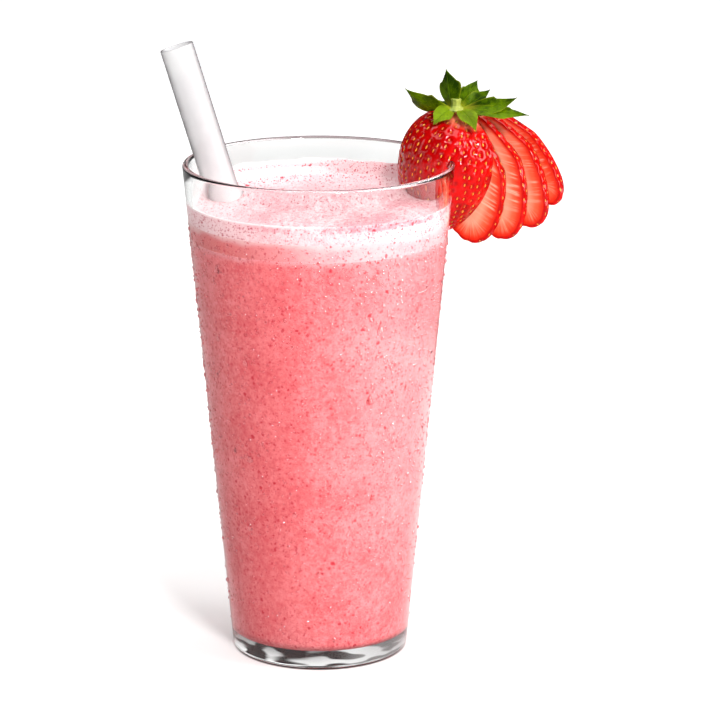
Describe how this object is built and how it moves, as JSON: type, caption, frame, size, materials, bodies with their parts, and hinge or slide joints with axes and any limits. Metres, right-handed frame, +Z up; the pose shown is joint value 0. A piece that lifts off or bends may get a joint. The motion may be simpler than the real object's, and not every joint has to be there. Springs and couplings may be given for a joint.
{
  "type": "strawberry milkshake",
  "caption": "Strawberry milkshake in a tall tapered clear glass, with a frothy top, a wide frosted straw and a fan-cut strawberry on the rim.",
  "frame": {"origin": "centre of the tumbler's flat underside, on the table", "axes": "+Z up along the tumbler's axis; the straw leans out towards -X; the strawberry sits on the rim at +X, a little towards +Y; -Y is the front"},
  "size_m": [0.1335, 0.09, 0.2045],
  "materials": {
    "clear_glass": "polished",
    "strawberry_shake": "satin, flecked with fruit",
    "pale_froth": "matte",
    "white_foam": "matte, bubbly",
    "frosted_straw": "frosted",
    "strawberry_flesh": "moist",
    "strawberry_leaf": "satin"
  },
  "bodies": {
    "root": {"glass": "clear_glass", "milkshake": "strawberry_shake", "pale_froth": "pale_froth", "foam_head": "white_foam", "straw": "frosted_straw", "strawberry_flesh": "strawberry_flesh", "strawberry_leaves": "strawberry_leaf"}
  },
  "joints": []
}
